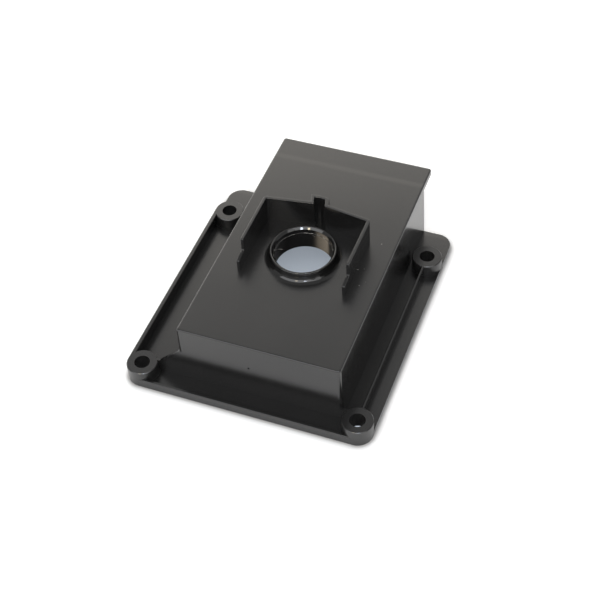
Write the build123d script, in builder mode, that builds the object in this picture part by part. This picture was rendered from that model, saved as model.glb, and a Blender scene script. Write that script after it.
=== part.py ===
"""Cover for an electrical box, moulded in one piece: a screw flange, a hollow housing that
stands off centre on it, and a cable entry in the housing's top under a U-shaped drip hood."""

import os
from math import cos, radians, sin, tan

from build123d import *

os.makedirs("parts", exist_ok=True)

# The frame: origin midway between the four screws, on the mounting face. The cable
# entry looks up (+Z), and the hood opens to the front (-Y). All sizes are in millimetres.

# Fixing flange
screw_pitch_x = 78.0
screw_pitch_y = 78.0
screw_hole = 5.4
boss_diameter = 10.8
boss_height = 6.75
flange_thickness = 2.25
rear_land = 16.4  # from the rear screws back to the rear edge

# Edges and ribs of the flange
left_rim = 1.6
front_lip = 1.0
front_lip_height = 1.25  # above the flange
front_lip_round = 0.35  # along its front
right_rib = 0.8
rib_draft = 1.0
fine_bevel = 0.25  # edge bevel of the bosses, the rim and the rib

# Housing. Its size is taken round its top, and its walls widen downwards.
housing_width = 57.7
housing_offset = 3.7  # the housing stands this far to the right of the screws' middle
housing_setback = 2.75  # its front top edge stands this far behind the front screws
housing_height = 25.75
housing_draft = 1.2
wall = 2.0
top_thickness = 2.2
eave_depth = 9.55  # the top runs out past the rear wall
corner_radius = 1.0
top_edge_radius = 0.6

# Webs that tie the front wall to the two front bosses
web = 0.8
gusset_height = 14.8

# Cable entry: a straight bore with a rolled lip above and a sleeve below
entry_bore = 20.4
entry_offset = 3.5  # the entry and its hood stand this far to the right of the screws' middle
entry_from_front = 44.3  # from the housing's front top edge to the bore's axis
entry_lip = 1.45  # width of the lip's bead
entry_lip_height = 3.5
entry_lip_round = 0.5  # outer round of the bead
entry_edge = 0.1  # flat at the foot of the lip's inner face
entry_edge_height = 1.3
entry_flare = 2.0
sleeve_wall = 1.6
sleeve_depth = 5.3  # below the housing's top face

# Drip hood
hood_width = 39.2
hood_wall = 1.1
hood_height = 10.4
hood_front = 36.4  # from the housing's front top edge to the legs' upper front ends
hood_leg = 22.3  # from there to the rear corners
hood_gable = 8.4  # angle of the two rear walls, in degrees
hood_corner_radius = 1.2
hood_edge_radius = 0.25
niche_width = 4.0
niche_right_wall = 1.6
niche_depth = 3.2
niche_lean = 16.0  # the niche leans to the left by this angle, in degrees
step_drop = 5.3  # from the hood's top down to the legs' step
step_flat = 1.2
step_slope = 3.6
step_slope_drop = 0.8
step_radius = 0.45

# Places worked out from the sizes above
edge_margin = boss_diameter / 2
front_edge = -screw_pitch_y / 2 - edge_margin
rear_edge = screw_pitch_y / 2 + rear_land
side_edge = screw_pitch_x / 2 + edge_margin

slope = tan(radians(housing_draft))
top_front = -screw_pitch_y / 2 + housing_setback
wall_rear_top = rear_edge - housing_height * slope
top_rear = wall_rear_top + eave_depth
ceiling = housing_height - top_thickness
half_width = housing_width / 2
entry_y = top_front + entry_from_front
entry_radius = entry_bore / 2
leg_front = top_front + hood_front
leg_foot = leg_front - step_flat - step_slope
hood_corner = leg_front + hood_leg
overlap = 0.5  # how far a rib or web runs into what carries it

# Drip hood. Its plan is a house with a small niche at the ridge, and its front is cut away
# along the stepped side profile of the two legs.
gable = tan(radians(hood_gable))
ridge_y = hood_corner + hood_width / 2 * gable
closing_wall = leg_foot - 2 * hood_wall
hood_plane = Plane((entry_offset, 0, housing_height - overlap))


def hood_outline(inset):
    """Draw the hood's plan, moved inwards by the inset."""
    half = hood_width / 2 - inset
    left = -niche_width / 2 - hood_wall + inset
    right = niche_width / 2 + niche_right_wall * (1 - inset / hood_wall)
    corner = ridge_y - inset - half * gable

    def leaning(x, behind):
        return (x - behind * tan(radians(niche_lean)), ridge_y - abs(x) * gable + behind)

    Polyline(
        (-half, closing_wall + inset),
        (-half, corner),
        leaning(left, -inset),
        leaning(left, niche_depth - inset),
        leaning(0, niche_depth - inset),
        leaning(right, niche_depth - inset),
        leaning(right, -inset),
        (half, corner),
        (half, closing_wall + inset),
        close=True,
    )


with BuildPart() as hood:
    with BuildSketch(hood_plane):
        with BuildLine():
            hood_outline(0)
        make_face()
        with BuildLine():
            hood_outline(hood_wall)
        make_face(mode=Mode.SUBTRACT)
    extrude(amount=hood_height + overlap)
    sides = hood.edges().filter_by(Axis.Z).group_by(Axis.X)
    fillet(sides[0] + sides[-1], hood_corner_radius)

    hood_top = housing_height + hood_height
    step_top = hood_top - step_drop
    with BuildSketch(Plane.YZ.offset(entry_offset)):
        with BuildLine():
            Polyline(
                (leg_front, hood_top + overlap),
                (leg_front, step_top),
                (leg_front - step_flat, step_top),
                (leg_foot, step_top - step_slope_drop),
                (leg_foot, housing_height - 2 * overlap),
                (closing_wall - overlap, housing_height - 2 * overlap),
                (closing_wall - overlap, hood_top + overlap),
                close=True,
            )
        make_face()
    extrude(amount=hood_width / 2 + overlap, both=True, mode=Mode.SUBTRACT)
    step_edges = hood.edges().filter_by(Axis.X).filter_by_position(Axis.Z, housing_height, hood_top)
    fillet(step_edges, step_radius)
    top_rim = hood.faces().sort_by(Axis.Z)[-1].edges().filter_by(Axis.X, reverse=True)
    fillet(top_rim, hood_edge_radius)

with BuildPart() as box_cover:
    # Flange with four screw bosses on it
    with BuildSketch():
        with Locations((0, (front_edge + rear_edge) / 2)):
            RectangleRounded(2 * side_edge, rear_edge - front_edge, edge_margin)
    extrude(amount=flange_thickness)
    with BuildSketch():
        with GridLocations(screw_pitch_x, screw_pitch_y, 2, 2):
            Circle(boss_diameter / 2)
    extrude(amount=boss_height)

    # Left rim and right rib, both as high as the bosses
    with BuildSketch():
        with Locations((-side_edge + left_rim / 2, 0)):
            Rectangle(left_rim, screw_pitch_y)
    extrude(amount=boss_height)
    with BuildSketch(Plane.XY.offset(boss_height)):
        with Locations((screw_pitch_x / 2, 0)):
            Rectangle(right_rib, screw_pitch_y)
    extrude(amount=-boss_height, taper=-rib_draft)
    chamfer(faces().filter_by(Axis.Z).group_by(Axis.Z)[-1].edges(), fine_bevel)

    # Low lip along the front edge, flush with it
    lip_top = flange_thickness + front_lip_height
    round_foot = (front_edge, lip_top - front_lip_round)
    round_top = (front_edge + front_lip_round, lip_top)
    with BuildSketch(Plane.YZ.offset(-screw_pitch_x / 2)):
        with BuildLine():
            Polyline(
                round_foot,
                (front_edge, flange_thickness / 2),
                (front_edge + front_lip, flange_thickness / 2),
                (front_edge + front_lip, lip_top),
                round_top,
            )
            RadiusArc(round_top, round_foot, -front_lip_round)
        make_face()
    extrude(amount=screw_pitch_x)

    # Housing block, drawn round its top and drafted downwards
    with BuildSketch(Plane.XY.offset(housing_height)):
        with Locations((housing_offset, (top_front + top_rear) / 2)):
            RectangleRounded(housing_width, top_rear - top_front, corner_radius)
    extrude(amount=-housing_height, taper=-housing_draft)
    fillet(faces().sort_by(Axis.Z)[-1].edges(), top_edge_radius)

    # Space under the eave, behind the rear wall
    with BuildSketch(Plane.YZ.offset(housing_offset)):
        with BuildLine():
            Polyline(
                (rear_edge, 0),
                (rear_edge - ceiling * slope, ceiling),
                (top_rear + eave_depth, ceiling),
                (top_rear + eave_depth, 0),
                close=True,
            )
        make_face()
    extrude(amount=housing_width, both=True, mode=Mode.SUBTRACT)

    # Webs flush with the front wall: a gusset to the left boss, a low web to the right one
    lean = radians(housing_draft)
    front_wall = Plane((0, top_front, housing_height), x_dir=(1, 0, 0), z_dir=(0, -cos(lean), sin(lean)))
    into_wall = corner_radius + wall
    left_corner = housing_offset - half_width
    right_corner = housing_offset + half_width
    with BuildSketch(front_wall):
        with BuildLine():
            Polyline(
                (left_corner + into_wall, gusset_height - housing_height),
                (left_corner, gusset_height - housing_height),
                (-screw_pitch_x / 2 + edge_margin, boss_height - housing_height),
                (-screw_pitch_x / 2, boss_height - housing_height),
                (-screw_pitch_x / 2, flange_thickness / 2 - housing_height),
                (left_corner + into_wall, flange_thickness / 2 - housing_height),
                close=True,
            )
        make_face()
        with BuildLine():
            Polyline(
                (right_corner - into_wall, boss_height - housing_height),
                (screw_pitch_x / 2, boss_height - housing_height),
                (screw_pitch_x / 2, flange_thickness / 2 - housing_height),
                (right_corner - into_wall, flange_thickness / 2 - housing_height),
                close=True,
            )
        make_face()
    extrude(amount=-web)

    # Hollow of the housing, open at the mounting face, with walls of even thickness
    inner_front = top_front - top_thickness * slope + wall
    inner_rear = wall_rear_top + top_thickness * slope - wall
    inner_width = housing_width + 2 * top_thickness * slope - 2 * wall
    with BuildSketch(Plane.XY.offset(ceiling)):
        with Locations((housing_offset, (inner_front + inner_rear) / 2)):
            Rectangle(inner_width, inner_rear - inner_front)
    extrude(amount=-ceiling, taper=-housing_draft, mode=Mode.SUBTRACT)

    # Cable entry, turned about the bore's axis
    lip_radius = entry_radius + entry_lip
    crest = lip_radius - entry_lip_round
    inner_edge = entry_radius + entry_edge
    inner_round = crest - inner_edge
    entry_plane = Plane((entry_offset, entry_y, housing_height), x_dir=(1, 0, 0), z_dir=(0, -1, 0))
    with BuildSketch(entry_plane):
        with BuildLine():
            Polyline(
                (inner_edge, entry_lip_height - inner_round),
                (inner_edge, entry_edge_height),
                (entry_radius, entry_edge_height),
                (entry_radius, -sleeve_depth),
                (entry_radius + sleeve_wall, -sleeve_depth),
                (entry_radius + sleeve_wall, -top_thickness / 2),
                (lip_radius + entry_flare, -top_thickness / 2),
                (lip_radius + entry_flare, 0),
            )
            RadiusArc((lip_radius + entry_flare, 0), (lip_radius, entry_flare), entry_flare)
            bead_foot = (lip_radius, entry_lip_height - entry_lip_round)
            Line((lip_radius, entry_flare), bead_foot)
            RadiusArc(bead_foot, (crest, entry_lip_height), -entry_lip_round)
            RadiusArc((crest, entry_lip_height), (inner_edge, entry_lip_height - inner_round), -inner_round)
        make_face()
    revolve(axis=Axis((entry_offset, entry_y, 0), (0, 0, 1)))
    with Locations((entry_offset, entry_y, ceiling - sleeve_depth)):
        Cylinder(
            entry_radius, 2 * sleeve_depth, align=(Align.CENTER, Align.CENTER, Align.MIN), mode=Mode.SUBTRACT
        )

    add(hood.part)

    # Screw holes
    with GridLocations(screw_pitch_x, screw_pitch_y, 2, 2):
        Hole(screw_hole / 2)

box_cover.part.label = "box_cover"
export_step(box_cover.part, "parts/box_cover.step")
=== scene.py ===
"""Electrical box cover: the moulding in satin black plastic on a pale studio floor."""

from math import cos, pi, radians, sin, tan

import bpy
from mathutils import Matrix, Vector


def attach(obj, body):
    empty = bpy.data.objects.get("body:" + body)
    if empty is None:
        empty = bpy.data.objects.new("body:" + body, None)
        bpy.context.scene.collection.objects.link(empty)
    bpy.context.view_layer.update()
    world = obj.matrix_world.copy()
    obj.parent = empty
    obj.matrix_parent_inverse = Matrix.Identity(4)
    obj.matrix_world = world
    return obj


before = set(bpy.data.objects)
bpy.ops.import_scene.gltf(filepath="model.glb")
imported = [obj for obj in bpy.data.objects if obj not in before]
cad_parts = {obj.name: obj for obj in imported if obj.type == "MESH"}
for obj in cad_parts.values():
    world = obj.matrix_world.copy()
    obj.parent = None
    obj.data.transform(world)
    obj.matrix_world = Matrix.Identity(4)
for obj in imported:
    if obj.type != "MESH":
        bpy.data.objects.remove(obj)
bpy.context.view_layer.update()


# Camera

IMAGE_WIDTH = 600
FOCAL_PIXELS = 1310.7
SENSOR = 36.0


def look(azimuth, elevation, roll, target, distance):
    """A camera that looks at the target from the front, turned to the right by the azimuth."""
    turn, lift, lean = radians(azimuth), radians(elevation), radians(roll)
    back = Vector((sin(turn) * cos(lift), -cos(turn) * cos(lift), sin(lift)))
    sideways = Vector((cos(turn), sin(turn), 0))
    upright = back.cross(sideways)
    right = sideways * cos(lean) + upright * sin(lean)
    up = upright * cos(lean) - sideways * sin(lean)
    place = Matrix((right, up, back)).transposed().to_4x4()
    place.translation = Vector(target) + back * distance
    lens = bpy.data.cameras.new("camera")
    lens.sensor_width = SENSOR
    lens.lens = FOCAL_PIXELS / IMAGE_WIDTH * SENSOR
    lens.clip_start = 0.01
    camera = bpy.data.objects.new("camera", lens)
    camera.matrix_world = place
    bpy.context.scene.collection.objects.link(camera)
    bpy.context.scene.camera = camera


look(azimuth=23.59, elevation=48.0, roll=-4.04, target=(0.0001, 0.01012, 0), distance=0.47405)


# Shader arithmetic


class Socket:
    """An output of a shader node. Arithmetic on it adds Math nodes."""

    def __init__(self, finish, node, output=0):
        self.finish, self.node, self.link = finish, node, node.outputs[output]

    def __getitem__(self, output):
        return Socket(self.finish, self.node, output)

    def math(self, operation, *others):
        values = dict(enumerate(others, 1))
        return self.finish.add("ShaderNodeMath", {"operation": operation}, {0: self, **values})

    def flipped(self, operation, other):
        return self.finish.add("ShaderNodeMath", {"operation": operation}, {0: other, 1: self})

    def __add__(self, other):
        return self.math("ADD", other)

    def __sub__(self, other):
        return self.math("SUBTRACT", other)

    def __mul__(self, other):
        return self.math("MULTIPLY", other)

    def __rsub__(self, other):
        return self.flipped("SUBTRACT", other)

    __radd__ = __add__
    __rmul__ = __mul__

    def ramp(self, low, high):
        """0 at low and below, 1 at high and above, and smooth between them."""
        return self.finish.add(
            "ShaderNodeMapRange",
            {"interpolation_type": "SMOOTHSTEP"},
            {"Value": self, "From Min": low, "From Max": high},
        )


class Finish:
    """A node tree of a material or of the world."""

    def __init__(self, owner, output):
        owner.use_nodes = True
        self.tree = owner.node_tree
        self.tree.nodes.clear()
        self.output = self.tree.nodes.new(output)

    def add(self, kind, settings=None, inputs=None):
        node = self.tree.nodes.new(kind)
        for name, value in (settings or {}).items():
            setattr(node, name, value)
        for name, value in (inputs or {}).items():
            if isinstance(value, Socket):
                self.tree.links.new(value.link, node.inputs[name])
            else:
                node.inputs[name].default_value = value
        return Socket(self, node)

    def mix(self, factor, first, second):
        """A colour between the first and the second."""
        mixed = self.add(
            "ShaderNodeMix", {"data_type": "RGBA"}, {0: factor, 6: first, 7: second}
        )
        return mixed[2]

    def show(self, surface):
        self.tree.links.new(surface.link, self.output.inputs["Surface"])


def seen_ray(finish):
    """1 for what the camera sees, straight, in a reflection or through glass."""
    path = finish.add("ShaderNodeLightPath")
    seen = path["Is Camera Ray"] + path["Is Glossy Ray"] + path["Is Transmission Ray"]
    return seen.math("MINIMUM", 1.0)


def flat_length(steps):
    """The length of a step in X and a step in Y together."""
    return (steps[0] * steps[0] + steps[1] * steps[1]).math("SQRT")


def distance_from(along, middle):
    """The distance in the XY plane from a middle point."""
    return flat_length([along[axis] - place for axis, place in zip("XY", middle)])


# Sizes of the cover, in metres

FLANGE_FACE = 0.00225
BOSS_FACE = 0.00675
TOP_FACE = 0.02575
SCREW = 0.039
BOSS_RADIUS = 0.0054
ENTRY = (0.0035, 0.00805)
BORE_EDGE = 0.0103
BORE_EDGE_HEIGHT = 0.02705
FLANGE_MIDDLE = (0.0, 0.0055)
FLANGE_HALF = (0.0444, 0.0499)
FLANGE_CORNER = 0.0054


# Plastics

WALL_ROUGHNESS = 0.17
HAZE = 0.04
BOSS_SIDE_DULLNESS = 0.14
COLLAR_POLISH = 0.1
# Each face that looks up, with how much duller than the walls it is.
SATIN_FACES = ((FLANGE_FACE, 0.07), (BOSS_FACE, 0.02), (TOP_FACE, 0.07))
# Distances from the entry's axis between which the collar's polish fades out.
POLISH_FADES = (0.0130, 0.0137)
# The shallow line across the top where the rear wall stands under it, from front to rear.
SINK_RUN = (0.0530, 0.0560)
SINK_DEPTH = 0.00004
GRAIN_DEPTH = 0.00002
GRAIN_STRENGTH = 0.12
# How far above or below a face the satin is full, and where it has ended.
SATIN_FULL = 0.00004
SATIN_ENDS = 0.00012


def level(height, face):
    """1 on the flat faces at the given height."""
    above = height.ramp(face - SATIN_ENDS, face - SATIN_FULL)
    return above * (1.0 - height.ramp(face + SATIN_FULL, face + SATIN_ENDS))


def boss_sides(along):
    """1 on the round sides of the four screw bosses."""
    from_screw = flat_length([along[axis].math("ABSOLUTE") - SCREW for axis in "XY"])
    near = 1.0 - from_screw.ramp(BOSS_RADIUS + 0.0002, BOSS_RADIUS + 0.0006)
    return near * (1.0 - along["Z"].ramp(BOSS_FACE - 0.0001, BOSS_FACE - 0.00005))


def collar(along):
    """1 on the rolled lip and the flare of the cable entry."""
    near = 1.0 - distance_from(along, ENTRY).ramp(*POLISH_FADES)
    return near * along["Z"].ramp(TOP_FACE + 0.00005, TOP_FACE + 0.00025)


def noise(finish, place, scale, detail):
    """A noise pattern on the object's own coordinates."""
    return finish.add(
        "ShaderNodeTexNoise", {}, {"Vector": place, "Scale": scale, "Detail": detail}
    )


def black_plastic():
    """Black plastic: satin on the faces that look up and the bosses' sides, and glossier elsewhere.

    The collar of the entry is polished, and a shallow sink line runs across the top.
    """
    material = bpy.data.materials.new("black_plastic")
    finish = Finish(material, "ShaderNodeOutputMaterial")
    place = finish.add("ShaderNodeTexCoord")["Object"]
    along = finish.add("ShaderNodeSeparateXYZ", {}, {0: place})
    haze = noise(finish, place, scale=55.0, detail=3.0)
    grain = noise(finish, place, scale=2600.0, detail=2.0)
    satin = sum(level(along["Z"], face) * dullness for face, dullness in SATIN_FACES)
    dullness = HAZE * haze + satin + BOSS_SIDE_DULLNESS * boss_sides(along)
    colour = finish.mix(haze, (0.006, 0.006, 0.006, 1), (0.0105, 0.0102, 0.01, 1))
    step_down = -1.0 * along["Y"].ramp(*SINK_RUN)
    sink = finish.add(
        "ShaderNodeBump",
        {},
        {"Strength": 1.0, "Distance": SINK_DEPTH, "Height": step_down},
    )
    bumps = finish.add(
        "ShaderNodeBump",
        {},
        {
            "Strength": GRAIN_STRENGTH,
            "Distance": GRAIN_DEPTH,
            "Height": grain * satin * 10.0,
            "Normal": sink,
        },
    )
    plastic = finish.add(
        "ShaderNodeBsdfPrincipled",
        {},
        {
            "Base Color": colour,
            "Roughness": WALL_ROUGHNESS + dullness - COLLAR_POLISH * collar(along),
            "IOR": 1.6,
            "Normal": bumps,
        },
    )
    finish.show(plastic)
    return material


def pale_plastic():
    """Thin flash and dust, which catch the light: uneven and much paler than the moulding."""
    material = bpy.data.materials.new("pale_plastic")
    finish = Finish(material, "ShaderNodeOutputMaterial")
    place = finish.add("ShaderNodeTexCoord")["Object"]
    patches = noise(finish, place, scale=800.0, detail=2.0).ramp(0.4, 0.65)
    colour = finish.mix(patches, (0.05, 0.048, 0.045, 1), (0.55, 0.53, 0.5, 1))
    finish.show(
        finish.add("ShaderNodeBsdfPrincipled", {}, {"Base Color": colour, "Roughness": 0.4})
    )
    return material


def scar_plastic():
    """The dull, slightly torn plastic where the moulding was cut off its gate."""
    material = bpy.data.materials.new("scar_plastic")
    finish = Finish(material, "ShaderNodeOutputMaterial")
    place = finish.add("ShaderNodeTexCoord")["Object"]
    torn = noise(finish, place, scale=4000.0, detail=2.0)
    colour = finish.mix(torn, (0.002, 0.002, 0.002, 1), (0.012, 0.012, 0.012, 1))
    scar = finish.add(
        "ShaderNodeBsdfPrincipled", {}, {"Base Color": colour, "Roughness": 0.9, "IOR": 1.2}
    )
    finish.show(scar)
    return material


# Small pieces on the cover

SMOOTH_ANGLE = radians(35)
MERGE_DISTANCE = 0.000001

# The crest of the entry's lip: distances from the entry's axis, and heights.
CREST_FOOT = 0.02855
CREST_OUTER_FOOT = 0.0115
CREST_MIDDLE = (0.0112, 0.02914)
CREST_ROUND = 0.00045
CREST_BEVEL = radians(51)
CREST_OUTER_END = radians(-20)
CREST_STEPS = 12
CREST_SIDES = 192

FLASH_RADIUS = 0.00006

HAIR_RADIUS = 0.00009
HAIR_TAPER = 0.9
HAIR_SAG = 0.00003
HAIR_STEPS = 6
# The start of each strand on the bore's edge, and its end inside the bore.
HAIRS = (
    ((-0.0067, 0.0071, BORE_EDGE_HEIGHT), (-0.0043, 0.0085, 0.0264)),
    ((0.0018, 0.0181, BORE_EDGE_HEIGHT), (0.0042, 0.0177, 0.0264)),
)

GATE = (0.00014, -0.03647, 0.01541)
GATE_RADIUS = 0.00035

FLECK_RADIUS = 0.00012
FLECK_HEIGHT = TOP_FACE + 0.00005
FLECKS = (
    (0.0233, 0.0081),
    (0.0253, 0.0090),
    (0.0261, 0.0012),
    (0.0276, 0.0034),
    (0.0272, 0.0221),
    (-0.0220, 0.0201),
)


def edit_all():
    """Opens the new object's mesh, all of it selected."""
    bpy.ops.object.mode_set(mode="EDIT")
    bpy.ops.mesh.select_all(action="SELECT")


def finish_piece(name, material):
    """Merges doubles, turns the faces outwards, sets the origin at zero and rides on the body."""
    edit_all()
    bpy.ops.mesh.remove_doubles(threshold=MERGE_DISTANCE)
    bpy.ops.mesh.normals_make_consistent(inside=False)
    bpy.ops.object.mode_set(mode="OBJECT")
    bpy.ops.object.transform_apply(location=True, rotation=True, scale=True)
    bpy.ops.object.shade_smooth_by_angle(angle=SMOOTH_ANGLE)
    piece = bpy.context.object
    piece.name = name
    piece.data.materials.append(material)
    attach(piece, "root")


def crest_section():
    """Points (radius, height): up the bore's edge, along the bevel and round the crest."""
    radius, height = CREST_MIDDLE
    first = pi / 2 + CREST_BEVEL
    turn = (CREST_OUTER_END - first) / CREST_STEPS
    crest = []
    for step in range(CREST_STEPS + 1):
        angle = first + turn * step
        crest.append((radius + CREST_ROUND * cos(angle), height + CREST_ROUND * sin(angle)))
    bevel_top = crest[0]
    bevel_foot = bevel_top[1] - (bevel_top[0] - BORE_EDGE) * tan(CREST_BEVEL)
    return [
        (BORE_EDGE, CREST_FOOT),
        (BORE_EDGE, bevel_foot),
        *crest,
        (CREST_OUTER_FOOT, CREST_FOOT),
    ]


def lip_crest(material):
    """The bevelled crest of the entry's rolled lip, turned about the entry's axis."""
    section = crest_section()
    radius, height = section[0]
    bpy.ops.object.select_all(action="DESELECT")
    bpy.ops.mesh.primitive_circle_add(
        vertices=CREST_SIDES, radius=radius, location=(*ENTRY, height)
    )
    bpy.ops.object.transform_apply(location=True)
    edit_all()
    for next_radius, next_height in (*section[1:], section[0]):
        rise = (0, 0, next_height - height)
        growth = next_radius / radius
        bpy.ops.mesh.extrude_region_move(TRANSFORM_OT_translate={"value": rise})
        bpy.ops.transform.resize(
            value=(growth, growth, 1), center_override=(*ENTRY, next_height)
        )
        radius, height = next_radius, next_height
    finish_piece("lip_crest", material)


def bore_flash(material):
    """The ragged line of flash around the bore's upper edge."""
    bpy.ops.object.select_all(action="DESELECT")
    bpy.ops.mesh.primitive_torus_add(
        major_radius=BORE_EDGE - FLASH_RADIUS / 2,
        minor_radius=FLASH_RADIUS,
        major_segments=300,
        minor_segments=6,
        location=(*ENTRY, BORE_EDGE_HEIGHT + FLASH_RADIUS / 3),
    )
    edit_all()
    bpy.ops.transform.vertex_random(offset=FLASH_RADIUS, seed=4)
    finish_piece("bore_flash", material)


def hair(name, start, end, material):
    """A torn strand that thins out and bends down on its way."""
    run = (Vector(end) - Vector(start)) / HAIR_STEPS
    bpy.ops.object.select_all(action="DESELECT")
    bpy.ops.mesh.primitive_circle_add(
        vertices=8,
        radius=HAIR_RADIUS,
        fill_type="NGON",
        location=start,
        rotation=run.to_track_quat("Z", "Y").to_euler(),
    )
    edit_all()
    for step in range(HAIR_STEPS):
        lift = Vector((0, 0, HAIR_SAG * (HAIR_STEPS / 2 - step)))
        bpy.ops.mesh.extrude_region_move(TRANSFORM_OT_translate={"value": run + lift})
        bpy.ops.transform.resize(value=(HAIR_TAPER, HAIR_TAPER, HAIR_TAPER))
    finish_piece(name, material)


def select_front():
    """Opens the new object's mesh with the faces selected that look to the front."""
    bpy.ops.object.mode_set(mode="EDIT")
    bpy.ops.mesh.select_mode(type="FACE")
    bpy.ops.mesh.select_all(action="DESELECT")
    bpy.ops.object.mode_set(mode="OBJECT")
    for face in bpy.context.object.data.polygons:
        face.select = face.normal.y < -0.9
    bpy.ops.object.mode_set(mode="EDIT")


def gate_mark(material):
    """The round scar on the front wall, with a raised edge."""
    bpy.ops.object.select_all(action="DESELECT")
    bpy.ops.mesh.primitive_cylinder_add(
        vertices=24,
        radius=GATE_RADIUS,
        depth=GATE_RADIUS / 3,
        location=GATE,
        rotation=(pi / 2, 0, 0),
    )
    bpy.ops.object.transform_apply(location=True, rotation=True)
    select_front()
    bpy.ops.mesh.inset(thickness=GATE_RADIUS / 3)
    bpy.ops.transform.translate(value=(0, GATE_RADIUS / 8, 0))
    bpy.ops.mesh.select_mode(type="VERT")
    finish_piece("gate_mark", material)


def fleck(name, place, seed, material):
    """A slightly flattened, uneven grain of dust."""
    bpy.ops.object.select_all(action="DESELECT")
    bpy.ops.mesh.primitive_ico_sphere_add(subdivisions=2, radius=FLECK_RADIUS, location=place)
    edit_all()
    bpy.ops.transform.vertex_random(offset=FLECK_RADIUS / 3, seed=seed)
    bpy.ops.transform.resize(value=(1, 1, 0.7), center_override=place)
    finish_piece(name, material)


def dress_cover():
    """The cover's plastic, and the small pieces on it."""
    plastic = black_plastic()
    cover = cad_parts["box_cover"]
    cover.data.materials.clear()
    cover.data.materials.append(plastic)
    lip_crest(plastic)
    gate_mark(scar_plastic())
    pale = pale_plastic()
    bore_flash(pale)
    for number, (start, end) in enumerate(HAIRS, 1):
        hair(f"hair_{number}", start, end, pale)
    for number, (across, along) in enumerate(FLECKS, 1):
        fleck(f"fleck_{number}", (across, along, FLECK_HEIGHT), number, pale)


# Studio

WORLD_STRENGTH = 0.42
# Name, azimuth and elevation in degrees, distance, width and height in metres, radiance, colour.
# Azimuth 0 is behind the cover, and positive azimuths are to its right.
LAMPS = (
    ("rear", -26, 27.5, 1.5, 1.8, 0.82, 2.25, (1.0, 0.95, 0.87)),
    ("front", 183, 38, 1.5, 2.6, 1.3, 2.0, (0.97, 0.98, 1.0)),
    ("rear_top", -24, 49.5, 1.5, 1.6, 0.38, 0.4, (1.0, 1.0, 1.0)),
    ("rear_right", 40, 30, 1.5, 0.7, 0.7, 0.65, (1.0, 1.0, 1.0)),
    ("right", 118, 32, 1.5, 0.5, 1.4, 1.3, (1.0, 1.0, 1.0)),
    ("cool", 156, 37, 1.3, 0.14, 0.16, 26.0, (0.78, 0.86, 1.0)),
    ("warm", 182, 35, 1.3, 0.13, 0.16, 18.0, (1.0, 0.87, 0.62)),
)
FLOOR_SIZE = 5.0
FLOOR_GLOW = 0.3
# Distances outwards from the flange's outline between which the floor changes: the painted contact
# shadow fades out, the glow starts and so leaves the edge painted darker, and the painted light
# under the cover ends.
CONTACT_SHADOW_ENDS = (0.0001, 0.0013)
GLOW_STARTS = (0.0007, 0.0028)
COVER_ENDS = (-0.0016, -0.0004)
# The painted bluish light on the floor under the cover, standing in for light through the holes:
# below the entry, around it, and below the screw holes.
LIGHT_AT_ENTRY = 0.43
LIGHT_AROUND = 0.28
LIGHT_AT_SCREWS = 0.68
# Distances from the entry's axis between which that painted light changes, then the middle of the
# painted warm patch that the bore's wall mirrors, and the distances from it between which the patch
# fades.
ENTRY_ENDS = (0.012, 0.032)
SCREWS_START = (0.040, 0.050)
PATCH_MIDDLE = (-0.018, 0.006)
PATCH_ENDS = (0.008, 0.017)


def outside_flange(along):
    """The distance outwards from the flange's outline, below 0 inside it."""
    beyond = []
    for axis, middle, half in zip("XY", FLANGE_MIDDLE, FLANGE_HALF):
        gap = (along[axis] - middle).math("ABSOLUTE") - (half - FLANGE_CORNER)
        beyond.append(gap.math("MAXIMUM", 0.0))
    return flat_length(beyond) - FLANGE_CORNER


def floor_lights(finish, along, outside):
    """What the floor adds to its own white: each light's part and its colour.

    The open floor looks white, and its glow starts only beyond the cover's edge, which keeps the
    painted contact shadow there. Under the cover the camera sees a painted bluish light, standing
    in for light through the holes, and the bore's wall mirrors a painted warm patch of light that
    only reflections see.
    """
    path = finish.add("ShaderNodeLightPath")
    # Painted bluish light on the floor under the cover, seen only by the camera, standing in for
    # light through the entry and the screw holes.
    covered = 1.0 - outside.ramp(*COVER_ENDS)
    from_entry = distance_from(along, ENTRY)
    beyond_entry = (LIGHT_AT_ENTRY - LIGHT_AROUND) * from_entry.ramp(*ENTRY_ENDS)
    at_screws = (LIGHT_AT_SCREWS - LIGHT_AROUND) * from_entry.ramp(*SCREWS_START)
    bluish = LIGHT_AT_ENTRY - beyond_entry + at_screws
    # Painted warm patch of light under the cover, seen only in reflections, so that the bore's wall
    # mirrors it.
    patch = 1.0 - distance_from(along, PATCH_MIDDLE).ramp(*PATCH_ENDS)
    return (
        (seen_ray(finish) * outside.ramp(*GLOW_STARTS) * FLOOR_GLOW, (1, 0.99, 0.97, 1)),
        (path["Is Camera Ray"] * covered * bluish, (0.77, 0.87, 1.0, 1)),
        (path["Is Glossy Ray"] * covered * patch, (1.3, 1.1, 0.85, 1)),
    )


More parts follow.
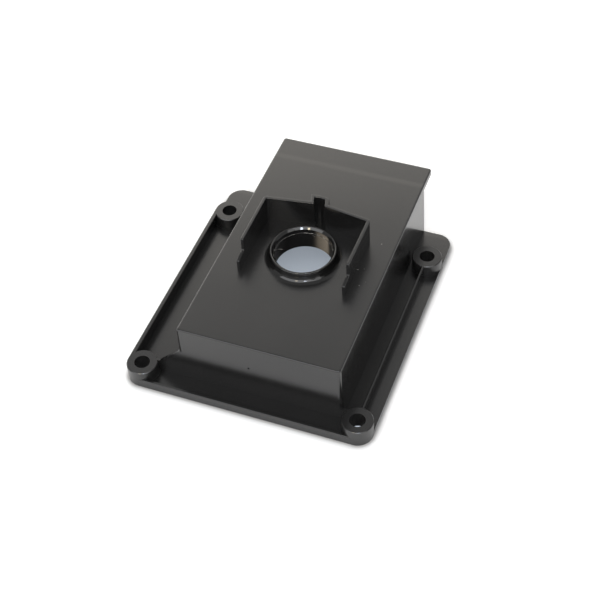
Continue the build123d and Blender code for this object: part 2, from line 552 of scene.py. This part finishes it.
def floor_paper():
    """White paper with a painted contact shadow: the camera sees it darker in a narrow band along
    the cover's edge.
    """
    material = bpy.data.materials.new("floor_paper")
    finish = Finish(material, "ShaderNodeOutputMaterial")
    place = finish.add("ShaderNodeTexCoord")["Object"]
    along = finish.add("ShaderNodeSeparateXYZ", {}, {0: place})
    path = finish.add("ShaderNodeLightPath")
    outside = outside_flange(along)
    # Painted contact shadow: the camera sees the darker paper in a narrow band along the cover's
    # edge.
    gap = path["Is Camera Ray"] * (1.0 - outside.ramp(*CONTACT_SHADOW_ENDS))
    paper = finish.add("ShaderNodeBsdfDiffuse", {}, {"Color": (0.9, 0.9, 0.9, 1)})
    shaded = finish.add("ShaderNodeBsdfDiffuse", {}, {"Color": (0.5, 0.49, 0.48, 1)})
    surface = finish.add("ShaderNodeMixShader", {}, {0: gap, 1: paper, 2: shaded})
    dark = finish.add("ShaderNodeEmission", {}, {"Color": (0, 0, 0, 1), "Strength": 0.0})
    for part, colour in floor_lights(finish, along, outside):
        light = finish.add("ShaderNodeEmission", {}, {"Color": colour, "Strength": 1.0})
        shine = finish.add("ShaderNodeMixShader", {}, {0: part, 1: dark, 2: light})
        surface = finish.add("ShaderNodeAddShader", {}, {0: surface, 1: shine})
    finish.show(surface)
    return material


def studio_floor():
    bpy.ops.object.select_all(action="DESELECT")
    bpy.ops.mesh.primitive_plane_add(size=FLOOR_SIZE, location=(0, 0, 0))
    floor = bpy.context.object
    floor.name = "floor"
    floor.data.materials.append(floor_paper())


def studio_world():
    world = bpy.data.worlds.new("studio")
    bpy.context.scene.world = world
    finish = Finish(world, "ShaderNodeOutputWorld")
    glow = {"Color": (1, 1, 1, 1), "Strength": WORLD_STRENGTH}
    finish.show(finish.add("ShaderNodeBackground", {}, glow))


def softbox(name, azimuth, elevation, distance, width, height, radiance, colour):
    """A flat lamp that faces the cover."""
    turn, lift = radians(azimuth), radians(elevation)
    back = Vector((sin(turn) * cos(lift), cos(turn) * cos(lift), sin(lift)))
    lamp = bpy.data.lights.new(name, "AREA")
    lamp.shape = "RECTANGLE"
    lamp.size, lamp.size_y = width, height
    lamp.energy = pi * width * height * radiance
    lamp.color = colour
    box = bpy.data.objects.new(name, lamp)
    facing = back.to_track_quat("Z", "Y").to_matrix().to_4x4()
    box.matrix_world = Matrix.Translation(back * distance) @ facing
    bpy.context.scene.collection.objects.link(box)


studio_world()
studio_floor()
for lamp in LAMPS:
    softbox(*lamp)
dress_cover()

bpy.context.scene.view_settings.view_transform = "Standard"
